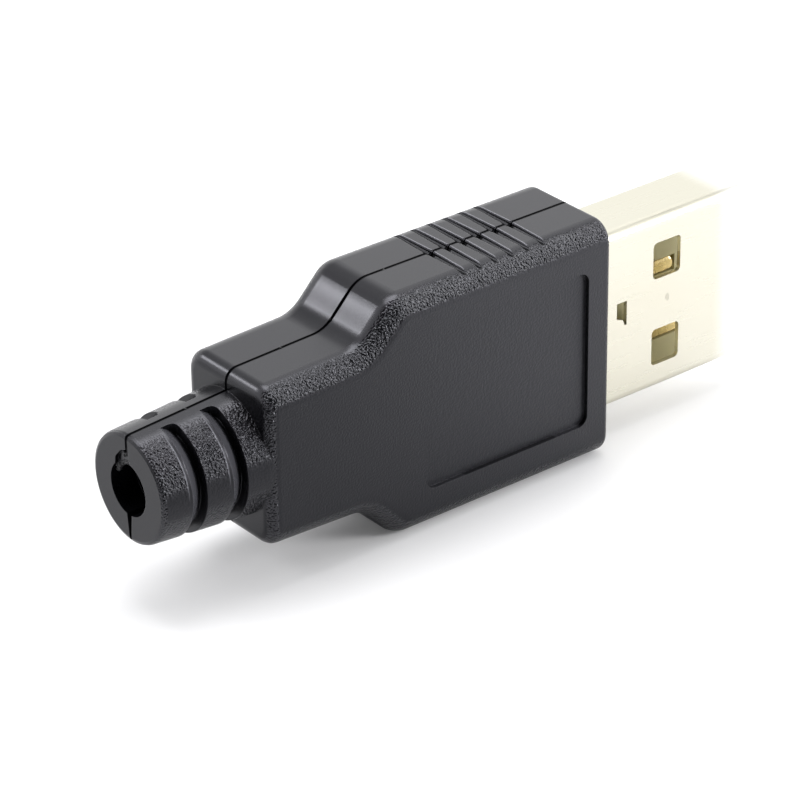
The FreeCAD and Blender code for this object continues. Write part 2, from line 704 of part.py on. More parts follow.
def cut_lock(body):
    """Lock window in the near face, and the tab that its cut leaves, pressed inward."""
    end = "lock_start + lock_long"
    outline = [
        ("lock_start", "lock_top"),
        ("lock_start", "0"),
        ("%s - lock_foot_long" % end, minus("lock_foot_low / 3")),
        ("%s - lock_foot_long / 2" % end, minus("lock_foot_low")),
        (end, minus("lock_foot_low")),
        (end, "lock_top"),
    ]
    sketch = polygon_sketch(body, "lock", "XZ_Plane", [outline])
    extrude(body, "Pocket", "lock", sketch, "plug_thick", reverse=True)
    wall_outer = minus("plug_thick / 2 - sheet_thick / 4")
    wall_inner = minus(SHELL_INNER_Y)
    tab_end = "%s - lock_side" % end
    tab = [
        ("lock_start - sheet_thick", wall_outer),
        ("lock_start", wall_outer),
        (tab_end, "%s + lock_drop" % wall_outer),
        ("%s - sheet_thick" % tab_end, "%s + lock_drop" % wall_inner),
        ("lock_start - sheet_thick", wall_inner),
    ]
    tab_sketch = polygon_sketch(body, "tab", "XY_Plane", [tab], "lock_side")
    extrude(body, "Pad", "tab", tab_sketch, "lock_top - lock_side * 2")


def cut_seam(body):
    """Seam along the far face, locked by one dovetail."""
    half = "seam_gap / 2"
    trail = "dovetail_start + dovetail_long"

    def edge_line(lift, before, after):
        """One side of the seam, from the rear of the dovetail to its front."""
        low = "%s seam_gap / 2" % lift
        high = "dovetail_high %s seam_gap / 2" % lift
        return [
            ("dovetail_start %s %s" % (before, half), low),
            ("dovetail_start - dovetail_flare %s %s" % (before, half), high),
            ("%s + dovetail_flare %s %s" % (trail, after, half), high),
            ("%s %s %s" % (trail, after, half), low),
        ]

    rear = minus("plug_in + sheet_thick")
    front = "plug_out + sheet_thick"
    upper = [(rear, half)] + edge_line("+", "-", "+") + [(front, half)]
    lower = [(front, minus(half))] + edge_line("-", "+", "-")[::-1] + [(rear, minus(half))]
    sketch = polygon_sketch(body, "seam", "XZ_Plane", [upper + lower])
    extrude(body, "Pocket", "seam", sketch, "plug_thick")


def add_ears(body):
    """Ears bent outward at the rear, which the housing holds."""
    ear = rectangle(minus("ear_wide / 2"), "ear_wide / 2",
                    "plug_high / 2 - sheet_thick / 2", "%s - ear_wall - fit_gap" % HALF_WIDE)
    sketch = polygon_sketch(body, "ear", "YZ_Plane", above_and_below(ear), SHELL_REAR)
    extrude(body, "Pad", "ear", sketch, "sheet_thick")


def make_metal_shell():
    body = new_body("metal_shell")
    fold_tube(body)
    cut_windows(body)
    cut_lock(body)
    cut_seam(body)
    add_ears(body)
    return body


# Insulator and contacts

CONTACTS = [
    ("contact_power", "power_spacing / 2", "power_from_tip"),
    ("contact_data_minus", "data_spacing / 2", "data_from_tip"),
    ("contact_data_plus", minus("data_spacing / 2"), "data_from_tip"),
    ("contact_ground", minus("power_spacing / 2"), "power_from_tip"),
]


def make_contact_carrier():
    body = new_body("contact_carrier")
    inner_y = "%s - fit_gap" % SHELL_INNER_Y
    inner_z = "%s - fit_gap" % SHELL_INNER_Z
    tongue_end = "plug_out - tongue_back"
    tongue = rectangle(TONGUE_FACE, inner_y, minus(inner_z), inner_z)
    tongue_sketch = polygon_sketch(body, "tongue", "YZ_Plane", [tongue], BLOCK_REAR)
    extrude(body, "Pad", "tongue", tongue_sketch, "%s + plug_in + block_behind" % tongue_end)
    block = rectangle(minus(inner_y), inner_y, minus(inner_z), inner_z)
    block_sketch = polygon_sketch(body, "block", "YZ_Plane", [block], BLOCK_REAR)
    extrude(body, "Pad", "block", block_sketch, "block_front + plug_in + block_behind")
    side_y = number(inner_y)
    round_edges(body, "corners", "plug_corner - sheet_thick",
                lambda edge: runs_along(edge, "X") and abs(abs(edge.CenterOfMass.y) - side_y) < SMALL)
    tip = number(tongue_end)
    face = number(TONGUE_FACE)
    bevel_edges(body, "lead", "tongue_lead",
                lambda edge: flat_at(edge, "X", tip) and flat_at(edge, "Y", face))
    shelf = rectangle(TONGUE_FACE, inner_y, minus("shelf_high / 2"), "shelf_high / 2")
    shelf_sketch = polygon_sketch(body, "shelf", "YZ_Plane", [shelf], BLOCK_REAR)
    extrude(body, "Pad", "shelf", shelf_sketch, "shelf_long", reverse=True)
    cut_contact_slots(body)
    cut_lock_pocket(body)
    return body


def cut_contact_slots(body):
    """One straight slot for each contact, through the block and along tongue and shelf."""
    for name, middle, from_tip in CONTACTS:
        low = "%s - contact_wide / 2 - fit_gap" % middle
        high = "%s + contact_wide / 2 + fit_gap" % middle
        near = "%s - contact_proud - fit_gap" % TONGUE_FACE
        deep = "%s - contact_proud + contact_thick + fit_gap" % TONGUE_FACE
        slot = rectangle(near, deep, low, high)
        start = minus("plug_in + block_behind + shelf_long + fit_gap")
        length = "plug_out - %s + fit_gap + plug_in + block_behind + shelf_long + fit_gap" % from_tip
        sketch = polygon_sketch(body, name + "_slot", "YZ_Plane", [slot], start)
        extrude(body, "Pocket", name + "_slot", sketch, length, reverse=True)


def cut_lock_pocket(body):
    """Pocket in the block's near face, into which the metal shell's tab is pressed."""
    pocket = rectangle("lock_start - sheet_thick - fit_gap", "lock_start + lock_long + fit_gap",
                       minus("lock_foot_low"), "lock_top")
    sketch = polygon_sketch(body, "lock", "XZ_Plane", [pocket], SHELL_INNER_Y)
    extrude(body, "Pocket", "lock", sketch, "lock_drop + fit_gap * 2")


def make_contact(name, middle, from_tip):
    """Flat strip with a rounded nose; its solder tail has two side lips."""
    body = new_body(name)
    rear = minus("plug_in + block_behind + tail_long")
    front = "plug_out - %s" % from_tip
    half = "contact_wide / 2"
    top = minus("%s - contact_proud" % TONGUE_FACE)
    strip = rectangle(rear, front, "%s - %s" % (middle, half), "%s + %s" % (middle, half))
    sketch = polygon_sketch(body, "strip", "XZ_Plane", [strip], top)
    extrude(body, "Pad", "strip", sketch, "contact_thick", reverse=True)
    nose = number(front)
    near = number("%s - contact_proud" % TONGUE_FACE)
    nose_from = nose - number("contact_nose") / 2
    round_edges(body, "nose", "contact_nose",
                lambda edge: runs_along(edge, "Y") and flat_at(edge, "X", nose))
    bevel_edges(body, "rim", "contact_ease",
                lambda edge: flat_at(edge, "Y", near) and edge.BoundBox.XMax > nose_from)
    low = "%s - %s" % (middle, half)
    high = "%s + %s" % (middle, half)
    lip_front = "%s - fit_gap" % BLOCK_REAR
    lips = [
        rectangle(rear, lip_front, low, "%s + cup_wall" % low),
        rectangle(rear, lip_front, "%s - cup_wall" % high, high),
    ]
    lip_sketch = polygon_sketch(body, "lip", "XZ_Plane", lips, "%s - sheet_thick / 2" % top)
    extrude(body, "Pad", "lip", lip_sketch, "cup_high + sheet_thick / 2")
    return body


def place(body):
    """Stands the plug on its lower narrow edge, with the middle of its length at X = 0."""
    body.setExpression("Placement.Base.x", cells("(housing_long - plug_out) / 2"))
    body.setExpression("Placement.Base.z", cells(HALF_WIDE))


def check_and_write(bodies):
    document.recompute()
    for item in document.Objects:
        if "Invalid" in item.State or "Error" in item.State:
            raise RuntimeError("%s is %s" % (item.Label, item.State))
    for body in bodies:
        shape = body.Shape
        if shape.isNull() or not shape.isValid() or len(shape.Solids) != 1:
            raise RuntimeError("%s is not one valid solid" % body.Label)
    os.makedirs("parts", exist_ok=True)
    for body in bodies:
        body.Shape.exportStep("parts/%s.step" % body.Label)


pieces = [
    make_housing_half("near_housing_half", -1),
    make_housing_half("far_housing_half", 1),
    make_metal_shell(),
    make_contact_carrier(),
]
for contact in CONTACTS:
    pieces.append(make_contact(*contact))
for piece in pieces:
    place(piece)
check_and_write(pieces)
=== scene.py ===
import math
import random

import bmesh
import bpy
from mathutils import Matrix, Vector, noise


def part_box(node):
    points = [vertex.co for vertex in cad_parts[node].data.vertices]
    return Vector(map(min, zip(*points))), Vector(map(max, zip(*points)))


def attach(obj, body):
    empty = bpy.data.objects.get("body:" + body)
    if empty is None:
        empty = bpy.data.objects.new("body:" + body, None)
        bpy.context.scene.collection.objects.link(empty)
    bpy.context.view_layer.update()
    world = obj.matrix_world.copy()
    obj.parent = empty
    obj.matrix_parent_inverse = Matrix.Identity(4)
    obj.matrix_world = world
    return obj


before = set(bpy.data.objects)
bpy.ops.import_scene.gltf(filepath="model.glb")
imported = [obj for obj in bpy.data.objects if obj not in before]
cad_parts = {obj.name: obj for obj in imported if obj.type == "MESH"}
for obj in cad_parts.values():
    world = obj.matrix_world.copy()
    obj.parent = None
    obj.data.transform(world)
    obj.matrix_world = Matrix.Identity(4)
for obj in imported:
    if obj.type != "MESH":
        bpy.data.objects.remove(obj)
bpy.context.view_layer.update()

# Sizes are in millimetres, unless a comment says otherwise, and become metres where they are
# used. The part stands on Z = 0, with the parting plane of its housing at Y = 0 and its metal
# tip towards +X.
MM = 0.001

near_low, near_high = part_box("near_housing_half")
END_FACE_X = near_low.x / MM
FRONT_FACE_X = near_high.x / MM
TIP_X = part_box("metal_shell")[1].x / MM
AXIS_Z = (near_low.z + near_high.z) / 2 / MM
NARROW_FACE = (near_high.z - near_low.z) / 2 / MM


# Camera, where the photograph was taken from

CAMERA_PLACE = Vector((-129.257, -158.680, 117.592))
CAMERA_AIM = Vector((-2.914, 0.0, 6.764))
CAMERA_ROLL = math.radians(-0.668)
CAMERA_LENS = 173.595
CAMERA_SENSOR = 36.0
CAMERA_CLIP_METRES = (0.01, 20.0)


def place_object(name, data):
    """A new object in the scene."""
    made = bpy.data.objects.new(name, data)
    bpy.context.scene.collection.objects.link(made)
    return made


def add_camera():
    """The camera looks at its aim, and is rolled a little about its own axis."""
    data = bpy.data.cameras.new("camera")
    data.lens = CAMERA_LENS
    data.sensor_width = CAMERA_SENSOR
    data.clip_start, data.clip_end = CAMERA_CLIP_METRES
    camera = place_object("camera", data)
    facing = (CAMERA_AIM - CAMERA_PLACE).to_track_quat("-Z", "Y").to_matrix().to_4x4()
    roll = Matrix.Rotation(CAMERA_ROLL, 4, "Z")
    camera.matrix_world = Matrix.Translation(CAMERA_PLACE * MM) @ facing @ roll
    bpy.context.scene.camera = camera


# Node trees

class Nodes:
    """A node tree, built up a node at a time."""

    def __init__(self, tree):
        self.tree = tree

    def feed(self, node, inputs):
        """Sets a node's inputs, each from a constant or from another node."""
        for name, value in inputs.items():
            if isinstance(value, bpy.types.NodeSocket):
                self.tree.links.new(value, node.inputs[name])
            else:
                node.inputs[name].default_value = value

    def add(self, kind, inputs=None, **settings):
        """A node with its settings, and its inputs from constants or other nodes."""
        node = self.tree.nodes.new("ShaderNode" + kind)
        for name, value in settings.items():
            setattr(node, name, value)
        self.feed(node, inputs or {})
        return node

    def ramp(self, value, low, high, out_low=0.0, out_high=1.0):
        """Runs smoothly from out_low to out_high as the value goes from low to high."""
        inputs = {"Value": value, "From Min": low, "From Max": high,
                  "To Min": out_low, "To Max": out_high}
        return self.add("MapRange", inputs, interpolation_type="SMOOTHSTEP").outputs["Result"]

    def fall(self, value, low, high):
        """Runs smoothly from 1 to 0 as the value goes from low to high."""
        return self.ramp(value, low, high, 1.0, 0.0)

    def between(self, value, rising, falling):
        """0, then 1 after the first fade, then 0 after the second."""
        return self.math("MULTIPLY", self.ramp(value, *rising), self.fall(value, *falling))

    def math(self, operation, first, *others):
        """One operation on one value, or over two or more from left to right."""
        if not others:
            return self.add("Math", {0: first}, operation=operation).outputs[0]
        for other in others:
            first = self.add("Math", {0: first, 1: other}, operation=operation).outputs[0]
        return first

    def mix_numbers(self, share, first, second):
        """The first number where share is 0, the second where it is 1."""
        return self.add("Mix", {0: share, 2: first, 3: second}).outputs[0]


def cleared_nodes(owner):
    """The empty node tree of a world or a material."""
    owner.use_nodes = True
    owner.node_tree.nodes.clear()
    return Nodes(owner.node_tree)


# Studio: a white room with darker parts, softboxes and a white sheet

# Softboxes: name, direction from the part, distance and side in metres, and radiance.
SOFTBOXES = [
    ("side_softbox", (-0.50, 0.69, 0.53), 0.60, 0.13, 9.5),
    ("top_softbox", (0.10, 0.20, 1.0), 0.80, 0.50, 4.5),
    ("front_softbox", (0.56, -0.70, 0.42), 0.22, 0.07, 15.0),
    ("right_softbox", (1.0, -0.12, 0.36), 0.80, 0.45, 3.0),
]

# Darker parts of the room: direction, how far they reach as cosines, and their level.
WHITE = (1.0, 1.0, 1.0, 1.0)
ROOM_COLOUR = (0.8, 0.8, 0.8, 1.0)
ROOM_LEVEL = 1.75
DARKER_PARTS = [
    ((-0.55, -0.69, 0.48), 0.53, 0.84, 0.04),
    ((-0.40, -0.45, 0.80), 0.72, 0.92, 0.04),
    ((0.00, 0.69, 0.73), 0.89, 0.98, 0.95),
    ((0.55, 0.03, 0.83), 0.945, 0.99, 0.95),
    ((0.00, 0.00, -1.00), -0.02, 0.10, 0.04),
]


def add_softbox(name, direction, distance, side, radiance):
    """A square lamp that faces the part from a direction, as bright as the radiance says."""
    data = bpy.data.lights.new(name, "AREA")
    data.shape = "SQUARE"
    data.size = side
    data.energy = radiance * math.pi * side * side
    lamp = place_object(name, data)
    aim = Vector((0.0, 0.0, AXIS_Z * MM))
    place = aim + Vector(direction).normalized() * distance
    lamp.location = place
    lamp.rotation_euler = (aim - place).to_track_quat("-Z", "Y").to_euler()


def add_world():
    """The camera sees plain white. Other rays see a white room with darker parts."""
    world = bpy.data.worlds.new("studio")
    bpy.context.scene.world = world
    nodes = cleared_nodes(world)
    outward = nodes.add("TexCoord").outputs["Generated"]
    level = ROOM_LEVEL
    for direction, edge, full, dark_level in DARKER_PARTS:
        inputs = {0: outward, 1: Vector(direction).normalized()}
        towards = nodes.add("VectorMath", inputs, operation="DOT_PRODUCT").outputs["Value"]
        darker = nodes.ramp(towards, edge, full, ROOM_LEVEL, dark_level)
        level = nodes.math("MINIMUM", level, darker)
    room = nodes.add("Background", {"Color": ROOM_COLOUR, "Strength": level}).outputs[0]
    plain = nodes.add("Background", {"Color": WHITE, "Strength": 1.0}).outputs[0]
    seen = nodes.add("LightPath").outputs["Is Camera Ray"]
    both = nodes.add("MixShader", {0: seen, 1: room, 2: plain}).outputs[0]
    nodes.add("OutputWorld", {0: both})


def add_lights():
    """The softboxes and the room."""
    for softbox in SOFTBOXES:
        add_softbox(*softbox)
    add_world()


# The sheet: the direction of its front edge from the part's middle, that distance in metres, and
# how far it reaches to the sides and the back in metres.
SHEET_FRONT = Vector((-0.623, -0.782, 0.0))
SHEET_FRONT_AT = 0.035
SHEET_REACH = 1.5
SHEET_COLOUR = (0.86, 0.86, 0.87, 1.0)
SHEET_TOP_UP = 0.06


def sheet_material():
    """White paper that is topped up to plain white for the camera."""
    material = bpy.data.materials.new("white_sheet")
    nodes = cleared_nodes(material)
    paper = nodes.add("BsdfDiffuse", {"Color": SHEET_COLOUR}).outputs[0]
    seen = nodes.add("LightPath").outputs["Is Camera Ray"]
    top_up = nodes.math("MULTIPLY", seen, SHEET_TOP_UP)
    glow = nodes.add("Emission", {"Strength": top_up}).outputs[0]
    both = nodes.add("AddShader", {0: paper, 1: glow}).outputs[0]
    nodes.add("OutputMaterial", {0: both})
    return material


def add_floor():
    """A white sheet that ends in front of the part and keeps its shadow."""
    mesh = bpy.data.meshes.new("floor")
    beside = Vector((-SHEET_FRONT.y, SHEET_FRONT.x, 0.0)) * SHEET_REACH
    front = SHEET_FRONT * SHEET_FRONT_AT
    back = SHEET_FRONT * -SHEET_REACH
    corners = [back - beside, front - beside, front + beside, back + beside]
    mesh.from_pydata(corners, [], [(0, 1, 2, 3)])
    mesh.materials.append(sheet_material())
    place_object("floor", mesh)


# Materials. Texture sizes are in millimetres, because each material scales its coordinates.

# Where the values of a noise pattern mostly lie.
NOISE_SPAN = (0.3, 0.7)


class Shader(Nodes):
    """One node material with a Principled shader."""

    def __init__(self, name):
        self.material = bpy.data.materials.new(name)
        self.material.use_nodes = True
        super().__init__(self.material.node_tree)
        self.surface = self.tree.nodes["Principled BSDF"]
        in_metres = self.add("TexCoord").outputs["Object"]
        self.place = self.add("Mapping", {"Vector": in_metres, "Scale": [1 / MM] * 3}).outputs["Vector"]

    def set(self, **values):
        """Constants on the Principled shader; an underscore stands for a space."""
        for name, value in values.items():
            self.surface.inputs[name.replace("_", " ")].default_value = value

    def finish(self, **sockets):
        """Feeds the Principled shader; an underscore stands for a space."""
        self.feed(self.surface, {name.replace("_", " "): value for name, value in sockets.items()})
        return self.material

    def noise(self, grains_per_mm, detail=2.0, roughness=0.5, stretch=None):
        """Soft random values from 0 to 1; stretch lengthens the grains along an axis."""
        place = self.place
        if stretch:
            place = self.add("Mapping", {"Vector": place, "Scale": stretch}).outputs["Vector"]
        inputs = {"Vector": place, "Scale": grains_per_mm, "Detail": detail, "Roughness": roughness}
        return self.add("TexNoise", inputs).outputs["Fac"]

    def vary(self, pattern, least, most):
        """A number that follows a noise pattern from the least to the most."""
        return self.ramp(pattern, *NOISE_SPAN, least, most)

    def blend(self, share, first, second):
        """The first colour where share is 0, the second where it is 1."""
        node = self.add("Mix", {"Factor": share}, data_type="RGBA")
        self.feed(node, {6: first, 7: second})
        return node.outputs[2]

    def bump(self, height, depth_mm, strength=1.0, over=None):
        """The normal of a surface that a height from 0 to 1 raises by the depth."""
        inputs = {"Height": height, "Distance": depth_mm * MM, "Strength": strength}
        if over:
            inputs["Normal"] = over
        return self.add("Bump", inputs).outputs["Normal"]

    def place_on(self, axis):
        """Place along an axis."""
        return self.add("SeparateXYZ", {0: self.place}).outputs[axis]

    def off_parting_plane(self):
        """Distance from the parting plane."""
        return self.math("ABSOLUTE", self.place_on("Y"))

    def above_axis(self):
        """Height above the plug's axis."""
        return self.math("SUBTRACT", self.place_on("Z"), AXIS_Z)

    def off_axis(self):
        """Distance from the plug's axis."""
        inputs = {"Vector": self.place, "Scale": (0.0, 1.0, 1.0), "Location": (0.0, 0.0, -AXIS_Z)}
        across = self.add("Mapping", inputs).outputs["Vector"]
        return self.add("VectorMath", {0: across}, operation="LENGTH").outputs["Value"]

    def strip(self, start, end, fades):
        """1 from start to end along the plug; the fades are distances past each of them."""
        rising = [start + past for past in fades[0]]
        falling = [end + past for past in fades[1]]
        return self.between(self.place_on("X"), rising, falling)

    def spot(self, centre, half_sizes):
        """1 in the inner half of an ellipsoid about a place, fading to 0 at its rim."""
        scale = [1 / half for half in half_sizes]
        shift = [-middle / half for middle, half in zip(centre, half_sizes)]
        inputs = {"Vector": self.place, "Scale": scale, "Location": shift}
        inside = self.add("Mapping", inputs).outputs["Vector"]
        reach = self.add("VectorMath", {0: inside}, operation="LENGTH").outputs["Value"]
        return self.fall(reach, 0.5, 1.0)

    def normal(self):
        """The surface's own normal, without any bump."""
        return self.add("NewGeometry").outputs["Normal"]

    def facing(self, axis):
        """How much a surface faces along an axis, from -1 to 1."""
        return self.add("SeparateXYZ", {0: self.normal()}).outputs[axis]

    def aligned(self, axis):
        """How much a surface faces either way along an axis, from 0 to 1."""
        return self.math("ABSOLUTE", self.facing(axis))


# Black plastic of the housing. Its finishes follow these forms of the solids.

GRIP_FIRST_X = FRONT_FACE_X - 4.82
GRIP_PITCH = 1.22
GRIP_COUNT = 6
GRIP_LAST_X = GRIP_FIRST_X - (GRIP_COUNT - 1) * GRIP_PITCH
GRIP_REACH = 3.7
GRIP_HALF_AT_LINE = 0.28
GRIP_HALF_AT_END = 0.154
SHOULDER_X = FRONT_FACE_X - 17.40
SLOT_FIRST_X = FRONT_FACE_X - 27.395
SLOT_PITCH = 2.75
SLOT_COUNT = 2
SLOT_LONG = 1.0
SLOT_BAND = 1.21

# Fades of these finishes: where each starts and where it ends. First those that depend on how
# much a surface faces across, along or up.
GRAINED_ACROSS = (0.22, 0.55)
FLAT_ACROSS = (0.93, 0.995)
GRIPPED_ACROSS = (0.15, 0.30)
# Painted highlight at the edge of the slot bands:
HIGHLIGHT_ACROSS = (0.30, 0.60)
STEEP_ALONG = (0.85, 0.97)
INWARD_ALONG = (0.5, 0.8)
END_FACE_ALONG = (-0.98, -0.85)
SLOT_FLOOR_ALONG = (0.15, 0.35)
# Painted highlight at the slot bands, where their edge faces upwards:
HIGHLIGHT_UPWARD = (-0.05, 0.45)

# Then those that depend on the place.
GRIP_FADES = ((-0.60, -0.50), (0.50, 0.60))
GROOVE_BELOW_FACE = (0.06, 0.11)
# The next two place the painted highlight along the edge of each groove.
HIGHLIGHT_BELOW_FACE = (0.06, 0.16)
HIGHLIGHT_PAST_GROOVE = ((-0.02, 0.0), (0.04, 0.12))
NICK_OFF_PLANE = (0.27, 0.32)
NICK_OFF_MIDDLE = (0.29, 0.34)
SLOT_BAND_FADES = ((-0.02, 0.02), (0.01, 0.05))
SLOT_EDGE_FADES = ((-0.06, -0.01), (0.01, 0.07))
SLOT_FLOOR_FADES = ((-0.02, 0.02), (-0.55, -0.25))
CROWN_FADES = ((-1.0, 0.15), (0.15, 1.1))
GAP_OFF_PLANE = (0.10, 0.14)
BORE_OFF_AXIS = (2.2, 2.4)
LARGE_FACE_FADE = (-16.0, 8.0)
LARGE_FACE_SLANT = 0.6

# Strength of the gloss, relief and colours.
# The gloss that is left where shade is painted.
PAINTED_SHADE_LEVEL = 0.01
END_FACE_LEVEL = 0.27
PLAIN_LEVEL = 0.50
LARGE_FACE_LEVELS = (0.28, 0.48)
# Share of the painted groove shade on the groove floors; the steep walls take all of it.
GROOVE_FLOOR_SHADE_SHARE = 0.72
GRAIN_DEPTH = 0.14
GRAIN_ON_FLAT = 0.2
SKIN_DEPTH = 0.003
CROWN_DEPTH = 0.085
EDGE_RADIUS = 0.07
BLACK = (0.0030, 0.0030, 0.0038, 1.0)
BLACK_PALER = (0.0050, 0.0050, 0.0065, 1.0)
# Painted sheen on the slot floors, and painted highlights at the edges of the grooves and slots.
BLACK_PAINTED_SHEEN = (0.056, 0.056, 0.064, 1.0)
BLACK_PAINTED_HIGHLIGHT = (0.16, 0.16, 0.18, 1.0)


def groove_marks(shader, across):
    """Painted shade in the grip grooves and nicks, made by taking their gloss away, and a painted
    highlight as a pale band along the edge of each groove on the tip's side.
    """
    past_first = shader.math("SUBTRACT", shader.place_on("X"), GRIP_FIRST_X)
    limits = {0: past_first, 1: -GRIP_PITCH / 2, 2: GRIP_PITCH / 2}
    past_middle = shader.add("Math", limits, operation="WRAP").outputs[0]
    off_middle = shader.math("ABSOLUTE", past_middle)
    off_plane = shader.off_parting_plane()
    below_face = shader.math("SUBTRACT", NARROW_FACE, shader.math("ABSOLUTE", shader.above_axis()))

    # Painted shade: inside the grooves and nicks the gloss is taken away, so they show dark.
    gripped = shader.strip(GRIP_LAST_X, GRIP_FIRST_X, GRIP_FADES)
    zone = shader.math("MULTIPLY", gripped, shader.fall(across, *GRIPPED_ACROSS))
    steep = shader.ramp(shader.aligned("X"), *STEEP_ALONG, GROOVE_FLOOR_SHADE_SHARE, 1.0)
    groove = shader.math("MULTIPLY", zone, shader.ramp(below_face, *GROOVE_BELOW_FACE), steep)
    nick = shader.math("MULTIPLY", shader.fall(off_plane, *NICK_OFF_PLANE),
                       shader.fall(off_middle, *NICK_OFF_MIDDLE), zone)

    # Painted highlight: a pale band on the ridge just past each groove's edge towards the tip.
    half = shader.add("MapRange", {"Value": off_plane, "From Min": 0.0, "From Max": GRIP_REACH,
                                   "To Min": GRIP_HALF_AT_LINE, "To Max": GRIP_HALF_AT_END}).outputs[0]
    past_edge = shader.math("SUBTRACT", past_middle, half)
    wear_and_painted_highlight = shader.math("MULTIPLY", shader.between(past_edge, *HIGHLIGHT_PAST_GROOVE),
                       shader.fall(below_face, *HIGHLIGHT_BELOW_FACE), zone)
    return shader.math("MAXIMUM", groove, nick), wear_and_painted_highlight


def slot_marks(shader, across):
    """Where the slide that forms the slots left no grain, a painted highlight as a pale line along the
    edge of that band on the cable's side, and a painted sheen that makes the floor of the slots paler."""
    bands, edges, floors = [], [], []
    for index in range(SLOT_COUNT):
        wall = SLOT_FIRST_X - index * SLOT_PITCH
        start = wall - SLOT_BAND
        bands.append(shader.strip(start, wall, SLOT_BAND_FADES))
        edges.append(shader.strip(start, start, SLOT_EDGE_FADES))
        floors.append(shader.strip(wall - SLOT_LONG, wall, SLOT_FLOOR_FADES))
    # Painted highlight: a pale line where the band's edge faces across and upwards.
    edge = shader.math("MULTIPLY", shader.ramp(across, *HIGHLIGHT_ACROSS),
                       shader.ramp(shader.facing("Z"), *HIGHLIGHT_UPWARD), shader.math("MAXIMUM", *edges))
    # Painted sheen: the floor of each slot is made paler.
    floor = shader.math("MULTIPLY", shader.ramp(shader.facing("X"), *SLOT_FLOOR_ALONG),
                        shader.math("MAXIMUM", *floors))
    return shader.math("MAXIMUM", *bands), edge, floor


def housing_relief(shader, grained, flat, smooth, slotted):
    """Eased edges, grain of the mould, and a slight crown on the polished shoulder."""
    coarse = shader.noise(grains_per_mm=8.0, detail=0.5)
    fine = shader.noise(grains_per_mm=18.0, detail=1.0)
    deep = shader.math("MULTIPLY", grained, shader.ramp(flat, 0.0, 1.0, 1.0, GRAIN_ON_FLAT),
                       shader.math("SUBTRACT", 1.0, slotted))
    crown = shader.strip(SHOULDER_X, SHOULDER_X, CROWN_FADES)
    eased = shader.add("Bevel", {"Radius": EDGE_RADIUS * MM}, samples=6).outputs["Normal"]
    relief = shader.blend(flat, eased, shader.normal())
    relief = shader.bump(coarse, GRAIN_DEPTH, deep, over=relief)
    relief = shader.bump(fine, SKIN_DEPTH, strength=0.6, over=relief)
    return shader.bump(shader.math("MULTIPLY", crown, smooth), CROWN_DEPTH, over=relief)


def housing_level(shader, flat, smooth, painted_groove_shade):
    """Strength of the gloss: next to none in the grooves, the parting gap and the bore, which paints
    shade there, less on the end face, and more on the large faces towards their upper front corner."""
    # Painted shade: the gloss is taken away along the parting gap, in the bore, and in the grooves and
    # nicks.
    gap = shader.math("MULTIPLY", shader.fall(shader.off_parting_plane(), *GAP_OFF_PLANE), smooth)
    bore = shader.math("MULTIPLY", shader.fall(shader.off_axis(), *BORE_OFF_AXIS),
                       shader.fall(shader.aligned("X"), *INWARD_ALONG))
    painted_shade = shader.math("MAXIMUM", painted_groove_shade, gap, bore)
    end_face = shader.ramp(shader.facing("X"), *END_FACE_ALONG, END_FACE_LEVEL, PLAIN_LEVEL)
    raised = shader.math("MULTIPLY", shader.above_axis(), LARGE_FACE_SLANT)
    to_corner = shader.math("ADD", shader.place_on("X"), raised)
    large_face = shader.ramp(to_corner, *LARGE_FACE_FADE, *LARGE_FACE_LEVELS)
    shown = shader.mix_numbers(flat, end_face, large_face)
    return shader.mix_numbers(painted_shade, shown, PAINTED_SHADE_LEVEL)


def housing_plastic():
    """Black moulded plastic: spark-eroded grain on the large faces and round the edges, nearly polished
    narrow faces, painted shade in the grooves, the nicks, the parting gap and the bore, and painted
    highlights and a painted sheen at the grooves and slots."""
    shader = Shader("housing_plastic")
    shader.set(IOR=1.53, Specular_Tint=(0.90, 0.905, 1.0, 1.0))
    across = shader.aligned("Y")
    grained = shader.ramp(across, *GRAINED_ACROSS)
    flat = shader.ramp(across, *FLAT_ACROSS)
    smooth = shader.math("SUBTRACT", 1.0, grained)
    slotted, slot_edge_highlight, slot_floor = slot_marks(shader, across)
    painted_groove_shade, wear_and_painted_highlight = groove_marks(shader, across)
    flow = shader.noise(grains_per_mm=0.11, stretch=(0.5, 1.0, 1.0))
    polished = shader.vary(flow, 0.22, 0.27)
    eroded = shader.ramp(flat, 0.0, 1.0, 0.25, 0.42)
    colour = shader.blend(flow, BLACK, BLACK_PALER)
    # Painted sheen on the slot floors.
    colour = shader.blend(slot_floor, colour, BLACK_PAINTED_SHEEN)
    # Painted highlights: pale lines at the edges of the grooves and of the slot bands.
    colour = shader.blend(shader.math("MAXIMUM", wear_and_painted_highlight, slot_edge_highlight), colour, BLACK_PAINTED_HIGHLIGHT)
    return shader.finish(Base_Color=colour, Roughness=shader.mix_numbers(grained, polished, eroded),
                         Normal=housing_relief(shader, grained, flat, smooth, slotted),
                         Specular_IOR_Level=housing_level(shader, flat, smooth, painted_groove_shade))


# Nickel of the metal shell

PUNCH_MARK = (FRONT_FACE_X + 6.26, -2.25, AXIS_Z + 0.21)
PUNCH_MARK_HALF = (0.20, 0.40, 0.34)
PUNCH_MARK_STAIN = 0.35
# Where the painted highlight at the tip fades in:
TIP_HIGHLIGHT_X = (TIP_X - 2.4, TIP_X - 0.3)
# Painted shade on the narrow face that faces upwards:
NARROW_UPWARD = (0.5, 0.95)
NARROW_SHADE_SHARE = 0.5
NICKEL_WARM = (0.675, 0.645, 0.54, 1.0)
NICKEL_PALE = (0.705, 0.685, 0.595, 1.0)
